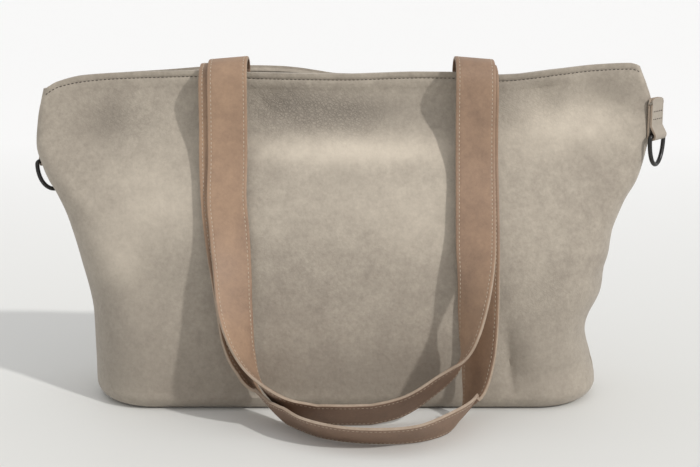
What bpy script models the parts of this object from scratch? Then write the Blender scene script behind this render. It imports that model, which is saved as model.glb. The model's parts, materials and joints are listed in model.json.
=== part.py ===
"""A soft leather shoulder bag that stands on its base with both long handles flopped
over the front rim. Two panels form the tapered pouch, a flat base closes it, and a folded
tab at each end of the mouth holds a D-shaped ring.

Metres, +Z up. The origin is the middle of the base's underside, on the floor. The front
faces -Y and the bag's right end, as seen from the front, is at +X.
"""
import math

import bpy
from mathutils import Vector

# The pouch
BAG_WIDTH = 0.481
BAG_HEIGHT = 0.256
BASE_DEPTH = 0.122
MOUTH_DEPTH = 0.026
WALL = 0.0018
HEM_THICKNESS = 0.0034
HEM_HEIGHT = 0.012
BOTTOM_RADIUS = 0.013
BOTTOM_LIP = 0.005
BASE_THICKNESS = 0.0018
SEAM_GAP = 0.0003

# The handles
STRAP_WIDTH = 0.030
STRAP_THICKNESS = 0.0026
STRAP_GAP = 0.0004
FRONT_SPREAD = 0.1970
FRONT_SHIFT = 0.0030
BACK_SPREAD = 0.1875
BACK_SHIFT = 0.0051
HANDLE_INSIDE = 0.040
HANDLE_CLEARS = 1.009
FRONT_LIFTS = (0.0, 0.0)
BACK_LIFTS = (0.0004, 0.0014)

# The end tabs and their rings
TAB_WIDTH = 0.022
TAB_HEIGHT = 0.033
TAB_LEATHER = 0.0016
TAB_CORNER = 0.005
TAB_LEAF_GAP = 0.0004
TAB_FOLD_SWEEP = math.radians(205)
TAB_WAIST = 2.6
LEFT_TAB_TOP = 0.214
RIGHT_TAB_TOP = 0.236
LEFT_TAB_TURN = math.radians(-55)
RIGHT_TAB_TURN = math.radians(35)
LEFT_TAB_SHIFT = 0.0
RIGHT_TAB_SHIFT = 0.004
RING_WIRE = 0.0034
RING_INSIDE = 0.024
RING_DROP = 0.023
RING_PLAY = 0.0004

# Mesh fineness
FRONT_COLUMNS = 42
BACK_COLUMNS = 32
WALL_ROWS = 16
ROUND_ROWS = 3
STRAP_ROWS = 64
FOLD_STEPS = 7
RING_CORNER_STEPS = 4
RING_BOW_STEPS = 14
OUTLINE_STEPS = 400
END_CROWDING = 0.5

HALF_WIDTH = BAG_WIDTH / 2
HALF_DEPTH = BASE_DEPTH / 2
RIM_REACH = 0.965

# Cross-sections of the pouch. up is a share of the rim's height there, left and right are
# shares of half the width, deep, end and corner are shares of half the base's depth: the
# depth in the middle, the depth of the rounded ends, and how far along the ends round off.
SECTION_COLUMNS = ("up", "left", "right", "deep", "end", "corner")
SECTIONS = (
    (0.00, 0.832, 0.838, 0.98, 0.98, 0.86),
    (0.06, 0.832, 0.838, 0.99, 0.98, 0.85),
    (0.12, 0.832, 0.823, 1.00, 0.97, 0.84),
    (0.20, 0.832, 0.803, 1.01, 0.95, 0.82),
    (0.26, 0.834, 0.819, 1.01, 0.91, 0.80),
    (0.33, 0.844, 0.850, 1.00, 0.84, 0.76),
    (0.42, 0.867, 0.869, 0.98, 0.74, 0.68),
    (0.50, 0.888, 0.880, 0.94, 0.62, 0.57),
    (0.58, 0.914, 0.912, 0.86, 0.47, 0.45),
    (0.66, 0.948, 0.955, 0.72, 0.33, 0.32),
    (0.74, 0.984, 0.978, 0.54, 0.22, 0.22),
    (0.82, 1.004, 0.991, 0.35, 0.15, 0.15),
    (0.90, 0.996, 0.991, 0.215, 0.115, 0.115),
    (0.95, 0.986, 0.975, 0.185, 0.10, 0.10),
    (1.00, 0.973, 0.950, 0.197, 0.10, 0.10),
)

# How far each rim stands above or below the bag's height, along the width: across is a
# share of half the width there, rise a share of the height.
RIM_COLUMNS = ("across", "rise")
RIM_WAVE = (
    (-1.00, -0.050),
    (-0.96, -0.029),
    (-0.88, -0.012),
    (-0.78, -0.003),
    (-0.62, 0.003),
    (-0.48, 0.006),
    (-0.30, 0.000),
    (0.00, -0.004),
    (0.25, 0.002),
    (0.38, 0.001),
    (0.52, -0.008),
    (0.62, -0.001),
    (0.72, 0.011),
    (0.84, 0.023),
    (0.95, 0.027),
    (1.00, 0.012),
)
BACK_RIM_WAVE = (
    (-1.00, -0.050),
    (-0.96, -0.029),
    (-0.88, -0.012),
    (-0.75, -0.004),
    (-0.60, 0.004),
    (-0.45, 0.013),
    (-0.30, 0.0155),
    (-0.22, 0.0135),
    (-0.16, 0.009),
    (-0.10, 0.001),
    (-0.02, -0.009),
    (0.20, -0.012),
    (0.50, -0.012),
    (0.65, -0.004),
    (0.80, 0.012),
    (0.92, 0.024),
    (1.00, 0.012),
)

# Dents (deep above 0) and bulges (deep below 0). side is -1 on the front and 1 on the
# back, across is a share of half the width, up a share of the height, wide and tall are
# the half-sizes as shares of half the width and of the height, deep is a share of half
# the base's depth, lean tips the dent's long way in degrees.
DENT_COLUMNS = ("side", "across", "up", "wide", "tall", "deep", "lean")
DENTS = (
    (-1, 0.00, 0.915, 0.34, 0.045, 0.045, 0),
    (-1, -0.26, 0.90, 0.10, 0.050, 0.055, 35),
    (-1, -0.78, 0.83, 0.10, 0.060, 0.060, 20),
    (-1, 0.64, 0.93, 0.06, 0.070, 0.075, 0),
    (-1, 0.84, 0.91, 0.08, 0.060, 0.070, 0),
    (-1, 0.74, 0.82, 0.16, 0.050, -0.060, 0),
    (-1, 0.52, 0.17, 0.045, 0.130, 0.070, 8),
    (-1, 0.72, 0.09, 0.10, 0.050, 0.080, 0),
    (-1, -0.35, 0.04, 0.25, 0.050, 0.080, 0),
    (-1, -0.60, 0.38, 0.12, 0.080, 0.045, -20),
    (1, 0.10, 0.90, 0.30, 0.050, 0.050, 0),
    (1, -0.55, 0.25, 0.10, 0.140, 0.070, 10),
    (1, 0.45, 0.50, 0.20, 0.090, 0.050, 25),
)

# Over the rim: the half of a handle from inside the mouth down to the middle of its leg,
# the same at both legs. forward is a share of half the base's depth, up a share of the
# rim's height at the leg, the stacks are the strap thicknesses from there to the strap's
# middle, and droop is how far its outer edge hangs, as a share of its reach from the middle.
OVER_COLUMNS = ("forward", "up", "stack_forward", "stack_up", "droop")
FRONT_OVER = (
    (0.155, 1.010, 0.0, 0.75, 0.05),
    (0.260, 1.005, 0.0, 0.85, 0.08),
    (0.360, 0.998, 0.3, 0.55, 0.10),
    (0.440, 0.976, 0.6, 0.30, 0.10),
    (0.465, 0.934, 0.7, 0.0, 0.08),
    (0.480, 0.840, 0.7, 0.0, 0.0),
    (0.555, 0.740, 0.7, 0.0, 0.0),
)
BACK_OVER = (
    (-0.075, 1.000, 0.0, 0.0, 0.0),
    (0.000, 1.005, 0.0, 1.20, 0.06),
    (0.150, 1.005, 0.0, 2.25, 0.08),
    (0.275, 1.005, 0.2, 2.30, 0.09),
    (0.385, 0.997, 1.1, 1.95, 0.10),
    (0.450, 0.974, 1.7, 1.15, 0.10),
    (0.470, 0.926, 1.8, 0.0, 0.08),
    (0.485, 0.840, 1.8, 0.0, 0.0),
    (0.560, 0.740, 1.8, 0.0, 0.0),
)

# The hanging loop of each handle, from its left leg to its right one. across is a share
# of half the handle's spread, forward a share of half the base's depth, low the height
# of the strap's lowest corner as a share of the bag's height, and out, ahead and rise
# point from the strap's middle to its outer edge: right, forward and up.
LOOP_COLUMNS = ("across", "forward", "low", "out", "ahead", "rise")
FRONT_LOOP = (
    (-0.981, 0.76, 0.640, -1.00, 0.00, 0.00),
    (-0.951, 0.91, 0.545, -1.00, 0.08, 0.00),
    (-0.903, 1.06, 0.420, -0.92, 0.38, 0.05),
    (-0.869, 1.18, 0.325, -0.83, 0.53, 0.12),
    (-0.845, 1.26, 0.229, -0.68, 0.66, 0.25),
    (-0.793, 1.30, 0.134, -0.42, 0.76, 0.45),
    (-0.680, 1.33, 0.050, -0.20, 0.80, 0.55),
    (-0.440, 1.80, 0.003, -0.15, 0.76, 0.62),
    (-0.256, 2.12, 0.001, -0.10, 0.78, 0.62),
    (0.050, 2.33, 0.001, 0.00, 0.79, 0.61),
    (0.480, 2.31, 0.001, 0.00, 0.76, 0.64),
    (0.780, 1.93, 0.001, 0.15, 0.65, 0.74),
    (0.920, 1.40, 0.016, 0.30, 0.75, 0.58),
    (0.985, 1.26, 0.160, 0.70, 0.65, 0.25),
    (1.000, 1.19, 0.290, 0.84, 0.52, 0.10),
    (1.000, 1.05, 0.420, 0.93, 0.35, 0.03),
    (1.000, 0.91, 0.545, 1.00, 0.05, 0.00),
    (1.000, 0.76, 0.640, 1.00, 0.00, 0.00),
)
BACK_LOOP = (
    (-1.000, 0.84, 0.640, -1.00, 0.00, 0.00),
    (-0.975, 0.98, 0.550, -0.98, 0.15, 0.00),
    (-0.947, 1.15, 0.430, -0.90, 0.40, 0.10),
    (-0.920, 1.31, 0.315, -0.80, 0.58, 0.15),
    (-0.850, 1.48, 0.202, -0.50, 0.80, 0.33),
    (-0.735, 1.60, 0.112, -0.20, 0.83, 0.53),
    (-0.540, 1.67, 0.046, -0.05, 0.78, 0.62),
    (-0.323, 1.66, 0.008, 0.00, 0.70, 0.71),
    (-0.058, 1.68, 0.001, 0.00, 0.70, 0.71),
    (0.180, 1.66, 0.006, 0.00, 0.69, 0.72),
    (0.418, 1.60, 0.025, 0.05, 0.68, 0.73),
    (0.656, 1.52, 0.078, 0.08, 0.70, 0.71),
    (0.845, 1.47, 0.148, 0.03, 0.83, 0.55),
    (0.925, 1.46, 0.262, 0.42, 0.85, 0.25),
    (0.955, 1.40, 0.344, 0.64, 0.74, 0.12),
    (0.980, 1.29, 0.437, 0.82, 0.56, 0.05),
    (0.990, 1.03, 0.547, 0.97, 0.22, 0.00),
    (0.995, 0.85, 0.640, 1.00, 0.03, 0.00),
)

FINISHES = {
    "body_leather": ((0.145, 0.125, 0.105, 1.0), 0.85, 0.0),
    "strap_leather": ((0.150, 0.105, 0.080, 1.0), 0.60, 0.0),
    "gunmetal": ((0.035, 0.035, 0.037, 1.0), 0.35, 1.0),
}


def clear_scene():
    for thing in list(bpy.data.objects):
        bpy.data.objects.remove(thing, do_unlink=True)


def new_collection(name):
    collection = bpy.data.collections.new(name)
    bpy.context.scene.collection.children.link(collection)
    return collection


def finish(name):
    """The Principled material of this name, made on first use."""
    made = bpy.data.materials.get(name)
    if made:
        return made
    colour, roughness, metallic = FINISHES[name]
    made = bpy.data.materials.new(name)
    made.use_nodes = True
    shader = made.node_tree.nodes["Principled BSDF"]
    shader.inputs["Base Color"].default_value = colour
    shader.inputs["Roughness"].default_value = roughness
    shader.inputs["Metallic"].default_value = metallic
    made.diffuse_color = colour
    return made


def column(table, names, name):
    return [row[names.index(name)] for row in table]


def smooth_between(places, values, place):
    """A smooth curve through the values at rising places, without overshoot."""
    last = len(places) - 1
    if place <= places[0]:
        return values[0]
    if place >= places[last]:
        return values[last]
    i = max(k for k in range(last) if places[k] <= place)

    def run(k):
        return (values[k + 1] - values[k]) / (places[k + 1] - places[k])

    def slope(k):
        if k in (0, last):
            return run(min(k, last - 1))
        before, after = run(k - 1), run(k)
        return 0.0 if before * after <= 0 else 2 * before * after / (before + after)

    step = places[i + 1] - places[i]
    t = (place - places[i]) / step
    return (
        values[i] * (1 + 2 * t) * (1 - t) ** 2
        + slope(i) * step * t * (1 - t) ** 2
        + values[i + 1] * t * t * (3 - 2 * t)
        + slope(i + 1) * step * t * t * (t - 1)
    )


def section_value(name, up):
    heights = column(SECTIONS, SECTION_COLUMNS, "up")
    return smooth_between(heights, column(SECTIONS, SECTION_COLUMNS, name), up)


def section_at(up, inset=0.0):
    """Left and right half-widths, depth, end depth and end length of one section."""
    # The mouth's own size sets the depth at the rim, and the base's the depth below it.
    mouth_share = section_value("deep", 1.0)
    pull = (MOUTH_DEPTH / BASE_DEPTH / mouth_share - 1) * max(0.0, 2 * up - 1)
    return (
        HALF_WIDTH * section_value("left", up) - inset,
        HALF_WIDTH * section_value("right", up) - inset,
        HALF_DEPTH * section_value("deep", up) * (1 + pull) - inset,
        HALF_DEPTH * section_value("end", up) - inset,
        HALF_DEPTH * section_value("corner", up) - inset,
    )


def depth_at(x, section):
    """How far the section reaches from the seam plane at x."""
    left, right, deep, end, corner = section
    reach = right if x > 0 else left
    share = min(1.0, abs(x) / reach)
    past = max(0.0, abs(x) - (reach - corner)) / corner
    cap = end * math.sqrt(max(0.0, 1 - min(1.0, past) ** 2))
    return cap + (deep - end) * (1 - share ** 2) ** 1.5


def section_points(section, count):
    """Points of half the section, from its left end to its right, closer at the ends."""
    left, right = section[0], section[1]
    turns = [math.pi * k / OUTLINE_STEPS for k in range(OUTLINE_STEPS + 1)]
    line = []
    for turn in turns:
        reach = right if turn > math.pi / 2 else left
        x = -reach * math.cos(turn)
        line.append((x, depth_at(x, section)))
    lengths = [0.0]
    for a, b in zip(line, line[1:]):
        lengths.append(lengths[-1] + math.dist(a, b))
    points, k = [], 0
    for step in range(count + 1):
        share = step / count
        share -= END_CROWDING * math.sin(2 * math.pi * share) / (2 * math.pi)
        wanted = lengths[-1] * share
        while k < len(line) - 2 and lengths[k + 1] < wanted:
            k += 1
        t = (wanted - lengths[k]) / (lengths[k + 1] - lengths[k])
        points.append(tuple(a + t * (b - a) for a, b in zip(line[k], line[k + 1])))
    # The leather leaves the seam square to it, so that the two walls meet face to face.
    points[1] = (points[0][0], HEM_THICKNESS)
    points[-2] = (points[-1][0], HEM_THICKNESS)
    return points


def rim_height(x, side=-1):
    wave = RIM_WAVE if side < 0 else BACK_RIM_WAVE
    across = max(-1.0, min(1.0, x / HALF_WIDTH / RIM_REACH))
    rise = smooth_between(column(wave, RIM_COLUMNS, "across"),
                          column(wave, RIM_COLUMNS, "rise"), across)
    return BAG_HEIGHT * (1 + rise)


def dent_at(side, x, z):
    """How far the dents push the leather in at this place."""
    total = 0.0
    for row in DENTS:
        dent = dict(zip(DENT_COLUMNS, row))
        if dent["side"] != side:
            continue
        over = (x - dent["across"] * HALF_WIDTH)
        above = (z - dent["up"] * BAG_HEIGHT)
        tip = math.radians(dent["lean"])
        along = over * math.cos(tip) + above * math.sin(tip)
        beside = above * math.cos(tip) - over * math.sin(tip)
        far = (along / (dent["wide"] * HALF_WIDTH)) ** 2
        far += (beside / (dent["tall"] * BAG_HEIGHT)) ** 2
        total += dent["deep"] * HALF_DEPTH * math.exp(-far)
    return total


def panel_rows(side, columns):
    """The outer face of one panel, from its lip under the base up to the rim."""
    rows = []
    profile = [(0.0, BOTTOM_RADIUS + BOTTOM_LIP)]
    for k in range(ROUND_ROWS):
        turn = math.pi / 2 * (1 - k / ROUND_ROWS)
        profile.append((BOTTOM_RADIUS * (1 - math.sin(turn)),
                        BOTTOM_RADIUS * (1 - math.cos(turn))))
    low = BOTTOM_RADIUS / BAG_HEIGHT
    hem = 1 - HEM_HEIGHT / BAG_HEIGHT
    below_hem = hem - WALL / BAG_HEIGHT
    ups = [low + (below_hem - low) * k / WALL_ROWS for k in range(WALL_ROWS + 1)]
    for height, inset in profile:
        section = section_at(height / BAG_HEIGHT, inset)
        row = []
        for x, deep in section_points(section, columns):
            row.append(Vector((x, side * max(deep, SEAM_GAP / 2), height)))
        rows.append(row)
    for up in ups + [hem, 1.0]:
        section = section_at(up)
        points = section_points(section, columns)
        row = []
        for k, (x, deep) in enumerate(points):
            z = up * rim_height(x, side)
            before, after = points[max(k - 1, 0)], points[min(k + 1, columns)]
            run = Vector((after[0] - before[0], after[1] - before[1]))
            outward = Vector((-run.y, run.x)).normalized()
            if k in (0, columns):
                outward = Vector((-1.0 if k == 0 else 1.0, 0.0))
            fade = min(1.0, up / 0.12) * min(1.0, (1 - up) / 0.05)
            push = dent_at(side, x, z) * fade
            x -= outward.x * push
            deep = max(deep - outward.y * push, SEAM_GAP / 2)
            row.append(Vector((x, side * deep, z)))
        rows.append(row)
    for row in rows:
        row[0].y = row[-1].y = side * SEAM_GAP / 2
    return rows


def sheet_object(name, rows, thickness, material, collection, offset=0.0, thick_rows=0):
    """Leather sheet: an open grid of rows given its thickness by Solidify."""
    across = len(rows[0])
    points = [point for row in rows for point in row]
    faces = []
    for r in range(len(rows) - 1):
        for c in range(across - 1):
            a = r * across + c
            faces.append((a, a + 1, a + across + 1, a + across))
    mesh = bpy.data.meshes.new(name)
    mesh.from_pydata(points, [], faces)
    mesh.materials.append(finish(material))
    made = bpy.data.objects.new(name, mesh)
    collection.objects.link(made)
    wall = made.modifiers.new("wall", "SOLIDIFY")
    wall.thickness = thickness
    wall.offset = offset
    wall.use_even_offset = True
    wall.use_quality_normals = True
    if thick_rows:
        hem = made.vertex_groups.new(name="hem")
        first = (len(rows) - thick_rows) * across
        hem.add(list(range(first, len(points))), 1.0, "REPLACE")
        wall.thickness = HEM_THICKNESS
        wall.vertex_group = "hem"
        wall.thickness_vertex_group = WALL / HEM_THICKNESS
    mesh.shade_smooth()
    return made


def build_panels(collection):
    grids = {}
    for name, side, columns in (("front_panel", -1, FRONT_COLUMNS),
                                ("back_panel", 1, BACK_COLUMNS)):
        rows = panel_rows(side, columns)
        grids[name] = rows
        ordered = rows if side < 0 else [row[::-1] for row in rows]
        sheet_object(name, ordered, WALL, "body_leather", collection,
                     offset=-1.0, thick_rows=2)
    return grids


def build_base(collection):
    """The flat leather base, inside the lips of the two panels."""
    inset = BOTTOM_RADIUS + BOTTOM_LIP + SEAM_GAP
    section = section_at(0.0, inset)
    front = section_points(section, BACK_COLUMNS)
    outline = [(x, -deep) for x, deep in front]
    outline += [(x, deep) for x, deep in reversed(front[1:-1])]
    points = [Vector((x, y, 0.0)) for x, y in outline]
    mesh = bpy.data.meshes.new("base_panel")
    mesh.from_pydata(points, [], [tuple(range(len(points)))[::-1]])
    mesh.materials.append(finish("body_leather"))
    made = bpy.data.objects.new("base_panel", mesh)
    collection.objects.link(made)
    wall = made.modifiers.new("wall", "SOLIDIFY")
    wall.thickness = BASE_THICKNESS
    wall.offset = -1.0


def handle_path(over, loop, inner_forward, inner_up, spread, shift, lifts):
    """Places and outer-edge directions of a whole handle, left end to right end."""
    step = STRAP_THICKNESS + STRAP_GAP
    legs = []
    for way, lift in zip((-1, 1), lifts):
        x = shift + way * spread / 2
        edge = Vector((way, 0, 0))
        rim = max(rim_height(x + STRAP_WIDTH * k / 4) for k in (-2, -1, 0, 1, 2))
        leg = [(Vector((x, -inner_forward, up * rim)), edge) for up in inner_up]
        for row in over:
            at = dict(zip(OVER_COLUMNS, row))
            forward = at["forward"] * HALF_DEPTH + at["stack_forward"] * step
            up = at["up"] * rim + at["stack_up"] * step
            up += lift if at["stack_up"] > 0 else 0.0
            leg.append((Vector((x, -forward, up)), edge + Vector((0, 0, -at["droop"]))))
        legs.append(leg)
    middle = []
    for row in loop:
        at = dict(zip(LOOP_COLUMNS, row))
        edge = Vector((at["out"], -at["ahead"], at["rise"])).normalized()
        place = Vector((shift + at["across"] * spread / 2, -at["forward"] * HALF_DEPTH,
                        at["low"] * BAG_HEIGHT + edge.z * STRAP_WIDTH / 2))
        middle.append((place, edge))
    return legs[0] + middle + legs[1][::-1]


def spline_point(points, place):
    """Centripetal Catmull-Rom through the points, at a share of their whole count."""
    last = len(points) - 1
    k = min(int(place * last), last - 1)
    four = [points[min(max(k + d, 0), last)] for d in (-1, 0, 1, 2)]
    if k == 0:
        four[0] = points[0] * 2 - points[1]
    if k == last - 1:
        four[3] = points[last] * 2 - points[last - 1]
    knots = [0.0]
    for a, b in zip(four, four[1:]):
        knots.append(knots[-1] + max(1e-6, (b - a).length) ** 0.5)
    t = knots[1] + (place * last - k) * (knots[2] - knots[1])

    def mix(a, b, i, j):
        return a * ((knots[j] - t) / (knots[j] - knots[i])) + b * (
            (t - knots[i]) / (knots[j] - knots[i]))

    ab, bc, cd = mix(four[0], four[1], 0, 1), mix(four[1], four[2], 1, 2), mix(
        four[2], four[3], 2, 3)
    return mix(mix(ab, bc, 0, 2), mix(bc, cd, 1, 3), 1, 2)


def strap_rows(path, count):
    """Cross rows of a flat strap along the path, at even lengths."""
    places = [at for at, _ in path]
    edges = [edge.normalized() for _, edge in path]
    fine = [spline_point(places, k / OUTLINE_STEPS) for k in range(OUTLINE_STEPS + 1)]
    lengths = [0.0]
    for a, b in zip(fine, fine[1:]):
        lengths.append(lengths[-1] + (b - a).length)
    rows, k = [], 0
    for step in range(count + 1):
        wanted = lengths[-1] * step / count
        while k < OUTLINE_STEPS - 1 and lengths[k + 1] < wanted:
            k += 1
        t = (wanted - lengths[k]) / (lengths[k + 1] - lengths[k])
        middle = fine[k].lerp(fine[k + 1], t)
        tangent = (fine[k + 1] - fine[k]).normalized()
        share = (k + t) / OUTLINE_STEPS
        edge = spline_point(edges, share)
        edge = (edge - tangent * edge.dot(tangent)).normalized()
        face = tangent.cross(edge)
        lowest = middle.z - abs(edge.z) * STRAP_WIDTH / 2 - abs(face.z) * STRAP_THICKNESS / 2
        middle = middle + Vector((0, 0, max(0.0, STRAP_GAP - lowest)))
        half = edge * (STRAP_WIDTH / 2)
        rows.append([middle - half, middle, middle + half])
    return rows


def room_inside(rows, low, left, right):
    """How far from the middle the panel's inner face stays between these places."""
    nearest = HALF_DEPTH
    for row in rows:
        for point in row:
            if point.z > low and left < point.x < right:
                nearest = min(nearest, abs(point.y))
    return nearest - HEM_THICKNESS


def build_handles(collection, grids):
    start = BAG_HEIGHT - HANDLE_INSIDE
    low = start / BAG_HEIGHT
    inside = [low, (low + 1) / 2, HANDLE_CLEARS]
    for name, panel, over, loop, spread, shift, lifts in (
        ("handle_front", "front_panel", FRONT_OVER, FRONT_LOOP,
         FRONT_SPREAD, FRONT_SHIFT, FRONT_LIFTS),
        ("handle_back", "back_panel", BACK_OVER, BACK_LOOP,
         BACK_SPREAD, BACK_SHIFT, BACK_LIFTS),
    ):
        reach = spread / 2 + STRAP_WIDTH
        room = room_inside(grids[panel], start, shift - reach, shift + reach)
        inner = room - STRAP_GAP - STRAP_THICKNESS / 2
        forward = inner if panel == "front_panel" else -inner
        path = handle_path(over, loop, forward, inside, spread, shift, lifts)
        rows = strap_rows(path, STRAP_ROWS)
        sheet_object(name, rows, STRAP_THICKNESS, "strap_leather", collection)


def tab_frame(grids, side, top, turn, shift):
    """Where a tab's fold sits: its middle, outward direction and width direction."""
    outward = Vector((side * math.cos(turn), -math.sin(turn), 0.0))
    along = Vector((side * math.sin(turn), math.cos(turn), 0.0))
    low = top - TAB_HEIGHT
    reach, near = -1.0, None
    for rows in grids.values():
        for row in rows:
            for point in row:
                if low < point.z < top and point.dot(outward) > reach:
                    reach, near = point.dot(outward), point
    middle = outward * (reach + SEAM_GAP) + along * (near.dot(along) + shift)
    return Vector((middle.x, middle.y, low)), outward, along


def build_tab(collection, name, frame):
    """A strip folded round the ring's bar, its two leaves sewn together above it."""
    low, outward, along = frame
    bar_room = RING_WIRE / 2 + RING_PLAY + TAB_LEATHER / 2
    back = TAB_LEATHER / 2
    front = back + TAB_LEATHER + TAB_LEAF_GAP
    centre = back + bar_room
    middle = Vector((0, 0, bar_room + TAB_LEATHER / 2))
    waist = TAB_WAIST * bar_room
    profile = [(back, None), (back, TAB_HEIGHT / 2), (back, bar_room)]
    for k in range(FOLD_STEPS + 1):
        turn = math.pi + TAB_FOLD_SWEEP * k / FOLD_STEPS
        profile.append((centre + bar_room * math.cos(turn), bar_room * math.sin(turn)))
    profile += [(front, waist), (front, (waist + TAB_HEIGHT) / 2), (front, None)]
    half = TAB_WIDTH / 2
    ends = [half, half - TAB_CORNER * 0.3, half - TAB_CORNER]
    spots = [-spot for spot in ends] + [0.0] + ends[::-1]
    rows = []
    for x, z in profile:
        row = []
        for spot in spots:
            past = max(0.0, abs(spot) - half + TAB_CORNER) / TAB_CORNER
            top = TAB_HEIGHT - middle.z - TAB_CORNER * (1 - math.sqrt(1 - past ** 2))
            height = top if z is None else z
            row.append(low + middle + outward * x + along * spot
                       + Vector((0, 0, height)))
        rows.append(row)
    made = sheet_object(name, rows, TAB_LEATHER, "body_leather", collection)
    return made, low + middle + outward * centre


def build_ring(collection, name, at, along):
    """A D of round wire hung by its straight bar, its origin on the bar's axis."""
    half = (RING_INSIDE + RING_WIRE) / 2
    corner = half - TAB_WIDTH / 2 - RING_PLAY
    points = []
    for k in range(RING_CORNER_STEPS + 1):
        turn = math.pi / 2 * k / RING_CORNER_STEPS
        points.append((half - corner + corner * math.sin(turn),
                       -corner + corner * math.cos(turn)))
    deep = RING_DROP - corner
    for k in range(1, RING_BOW_STEPS):
        turn = math.pi * k / RING_BOW_STEPS
        points.append((half * math.cos(turn), -corner - deep * math.sin(turn)))
    points += [(-y, z) for y, z in points[RING_CORNER_STEPS::-1]]
    curve = bpy.data.curves.new(name + "_wire", "CURVE")
    curve.dimensions = "3D"
    curve.bevel_depth = RING_WIRE / 2
    curve.bevel_resolution = 2
    line = curve.splines.new("POLY")
    line.points.add(len(points) - 1)
    for spot, (y, z) in zip(line.points, points):
        spot.co = (0.0, y, z, 1.0)
    line.use_cyclic_u = True
    curve.materials.append(finish("gunmetal"))
    made = bpy.data.objects.new(name, curve)
    made.location = at
    made.rotation_euler = (0, 0, math.atan2(along.y, along.x) - math.pi / 2)
    collection.objects.link(made)
    return made


def main():
    clear_scene()
    bag = new_collection("shoulder_bag")
    grids = build_panels(bag)
    build_base(bag)
    build_handles(bag, grids)
    for side, word, top, turn, shift in (
        (-1, "left", LEFT_TAB_TOP, LEFT_TAB_TURN, LEFT_TAB_SHIFT),
        (1, "right", RIGHT_TAB_TOP, RIGHT_TAB_TURN, RIGHT_TAB_SHIFT),
    ):
        frame = tab_frame(grids, side, top, turn, shift)
        _, at = build_tab(bag, "tab_" + word, frame)
        build_ring(bag, "ring_" + word, at, frame[2])


main()
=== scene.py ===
# %% [markdown]
# A soft leather shoulder bag stands on its base, with both long handles flopped over the
# front rim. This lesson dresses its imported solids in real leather, thread and metal. Each
# piece gets its shape first and its finish next, and the studio comes last. All sizes are
# metres, +Z is up and the bag's front faces -Y.

# %% Load the frame
import json
import math
import bpy
import numpy as np
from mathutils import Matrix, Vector, noise


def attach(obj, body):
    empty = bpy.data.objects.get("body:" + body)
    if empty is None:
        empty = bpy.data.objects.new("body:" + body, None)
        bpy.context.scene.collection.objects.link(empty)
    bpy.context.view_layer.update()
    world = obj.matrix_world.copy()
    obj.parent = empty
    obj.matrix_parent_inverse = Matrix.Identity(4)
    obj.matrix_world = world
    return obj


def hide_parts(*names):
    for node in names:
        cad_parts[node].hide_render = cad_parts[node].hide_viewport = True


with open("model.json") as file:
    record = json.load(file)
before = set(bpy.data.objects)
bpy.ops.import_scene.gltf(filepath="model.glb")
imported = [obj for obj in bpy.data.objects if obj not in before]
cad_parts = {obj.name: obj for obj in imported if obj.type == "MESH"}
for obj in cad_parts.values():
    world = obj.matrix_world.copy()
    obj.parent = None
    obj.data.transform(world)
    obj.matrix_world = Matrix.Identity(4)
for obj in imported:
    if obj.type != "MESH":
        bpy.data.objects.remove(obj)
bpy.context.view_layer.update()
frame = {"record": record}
bpy.ops.object.select_all(action="DESELECT")

# %% [markdown]
# The pouch has no straight line in it, so its sizes live in short tables. A row of SECTIONS
# is one level cut through the bag: how far it reaches left and right, and how deep it is in
# the middle and at its rounded ends. A smooth curve through the rows gives every height
# between them. A table is easier to correct than a sculpted mesh, because one number moves
# one place.

# %% Sizes of the pouch
BAG_WIDTH, BAG_HEIGHT, BASE_DEPTH, MOUTH_DEPTH = 0.481, 0.256, 0.122, 0.026
HALF_WIDTH, HALF_DEPTH, RIM_REACH = BAG_WIDTH / 2, BASE_DEPTH / 2, 0.965
WALL, HEM_THICKNESS, HEM_HEIGHT = 0.0018, 0.0034, 0.012
BOTTOM_RADIUS, BOTTOM_LIP, SEAM_GAP = 0.013, 0.005, 0.0003

SECTION_COLUMNS = ("up", "left", "right", "deep", "end", "corner")
SECTIONS = (
    (0.00, 0.832, 0.838, 0.98, 0.98, 0.86),
    (0.06, 0.832, 0.838, 0.99, 0.98, 0.85),
    (0.12, 0.832, 0.823, 1.00, 0.97, 0.84),
    (0.20, 0.832, 0.803, 1.01, 0.95, 0.82),
    (0.26, 0.834, 0.819, 1.01, 0.91, 0.80),
    (0.33, 0.844, 0.850, 1.00, 0.84, 0.76),
    (0.42, 0.867, 0.869, 0.98, 0.74, 0.68),
    (0.50, 0.888, 0.880, 0.94, 0.62, 0.57),
    (0.58, 0.914, 0.912, 0.86, 0.47, 0.45),
    (0.66, 0.948, 0.955, 0.72, 0.33, 0.32),
    (0.74, 0.984, 0.978, 0.54, 0.22, 0.22),
    (0.82, 1.004, 0.991, 0.35, 0.15, 0.15),
    (0.90, 0.996, 0.991, 0.215, 0.115, 0.115),
    (0.95, 0.986, 0.975, 0.185, 0.10, 0.10),
    (1.00, 0.973, 0.950, 0.197, 0.10, 0.10),
)
RIM_COLUMNS = ("across", "rise")
RIM_WAVE = (
    (-1.00, -0.050), (-0.96, -0.029), (-0.88, -0.012), (-0.78, -0.003), (-0.62, 0.003),
    (-0.48, 0.006), (-0.30, 0.000), (0.00, -0.004), (0.25, 0.002), (0.38, 0.001),
    (0.52, -0.008), (0.62, -0.001), (0.72, 0.011), (0.84, 0.023), (0.95, 0.027),
    (1.00, 0.012),
)
BACK_RIM_WAVE = (
    (-1.00, -0.050), (-0.96, -0.029), (-0.88, -0.012), (-0.75, -0.004), (-0.60, 0.004),
    (-0.45, 0.013), (-0.30, 0.0155), (-0.22, 0.0135), (-0.16, 0.009), (-0.10, 0.001),
    (-0.02, -0.009), (0.20, -0.012), (0.50, -0.012), (0.65, -0.004), (0.80, 0.012),
    (0.92, 0.024), (1.00, 0.012),
)

# %% Curves through the tables
def column(table, names, name):
    return [row[names.index(name)] for row in table]


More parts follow.
